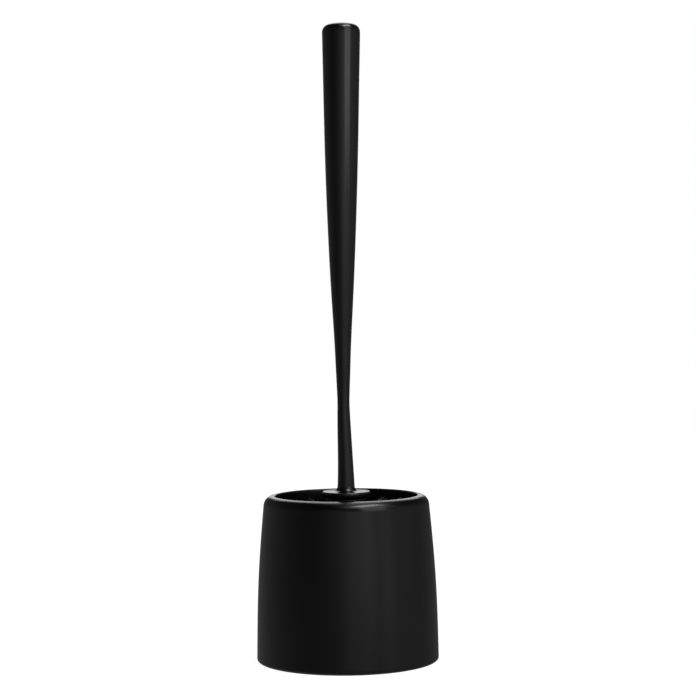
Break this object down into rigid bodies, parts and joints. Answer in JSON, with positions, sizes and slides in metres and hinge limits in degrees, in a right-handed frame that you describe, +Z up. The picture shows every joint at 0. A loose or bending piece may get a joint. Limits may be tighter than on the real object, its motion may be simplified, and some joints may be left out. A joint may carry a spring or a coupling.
{
  "type": "toilet brush holder",
  "caption": "Round tapered bathroom holder with a rolled rim and a toilet brush standing in it; the brush lifts out and its handle unscrews from the bristle head.",
  "frame": {"origin": "centre of the holder's foot ring, on the surface it stands on", "axes": "+Z up along the axis that the holder, the brush and its handle share; the set is round, so +X and +Y are free"},
  "size_m": [0.1058, 0.1058, 0.37],
  "materials": {
    "holder_plastic": "black, smooth, semi-gloss moulded",
    "handle_plastic": "black, smooth, semi-gloss moulded",
    "head_plastic": "black, satin moulded",
    "bristle": "black extruded filament, slight sheen",
    "anchor_wire": "flat drawn wire"
  },
  "bodies": {
    "holder": {"holder_cup": "holder_plastic"},
    "brush_head": {"brush_head_core": "head_plastic", "tuft_row_01": "bristle", "tuft_row_02": "bristle", "tuft_row_03": "bristle", "tuft_row_04": "bristle", "tuft_row_05": "bristle", "tuft_row_06": "bristle", "tuft_row_07": "bristle", "tuft_row_08": "bristle", "tuft_row_09": "bristle", "anchor_row_01": "anchor_wire", "anchor_row_02": "anchor_wire", "anchor_row_03": "anchor_wire", "anchor_row_04": "anchor_wire", "anchor_row_05": "anchor_wire", "anchor_row_06": "anchor_wire", "anchor_row_07": "anchor_wire", "anchor_row_08": "anchor_wire", "anchor_row_09": "anchor_wire"},
    "handle": {"handle": "handle_plastic", "handle_end_cap": "handle_plastic"}
  },
  "joints": [
    {"name": "brush_lift", "type": "slide", "parent": "holder", "child": "brush_head", "axis": [0, 0, 1], "range_m": [0, 0.1]},
    {"name": "handle_unscrew", "type": "hinge", "parent": "brush_head", "child": "handle", "pos_m": [0, 0, 0.095], "axis": [0, 0, 1], "range_deg": [0, 1260]}
  ]
}
